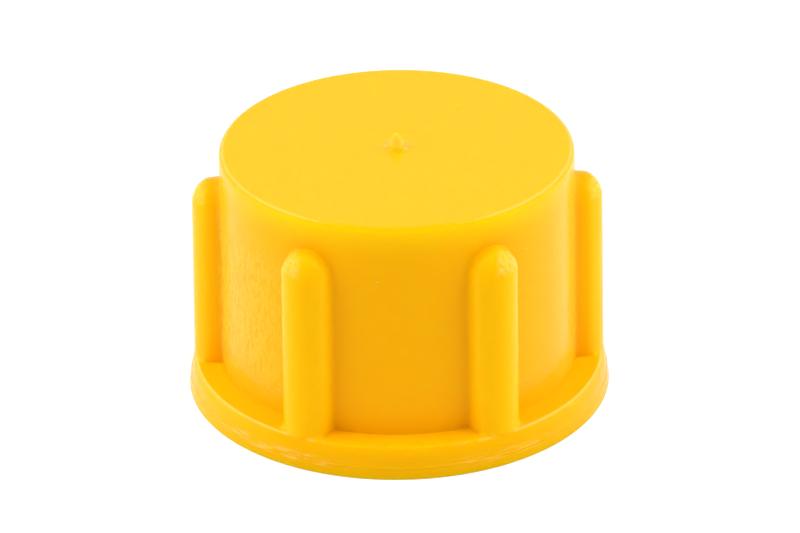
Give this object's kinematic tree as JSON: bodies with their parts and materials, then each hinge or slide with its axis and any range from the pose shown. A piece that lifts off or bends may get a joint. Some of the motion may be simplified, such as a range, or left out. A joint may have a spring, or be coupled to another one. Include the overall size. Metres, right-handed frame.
{
  "type": "threaded protection cap",
  "caption": "Screw-on protection cap with a closed end, vertical grip ribs and a collar, for covering an external thread.",
  "frame": {"origin": "middle of the open rim's flat face, on which the cap stands", "axes": "+Z along the cap's axis, out through the closed end; the first grip rib lies half a degree round from +X; -Y is the front"},
  "size_m": [0.0296, 0.0296, 0.0193],
  "materials": {
    "cap_plastic": "yellow low-density polyethylene as moulded, waxy, with a soft gloss"
  },
  "bodies": {
    "root": {"protection_cap": "cap_plastic"}
  },
  "joints": []
}
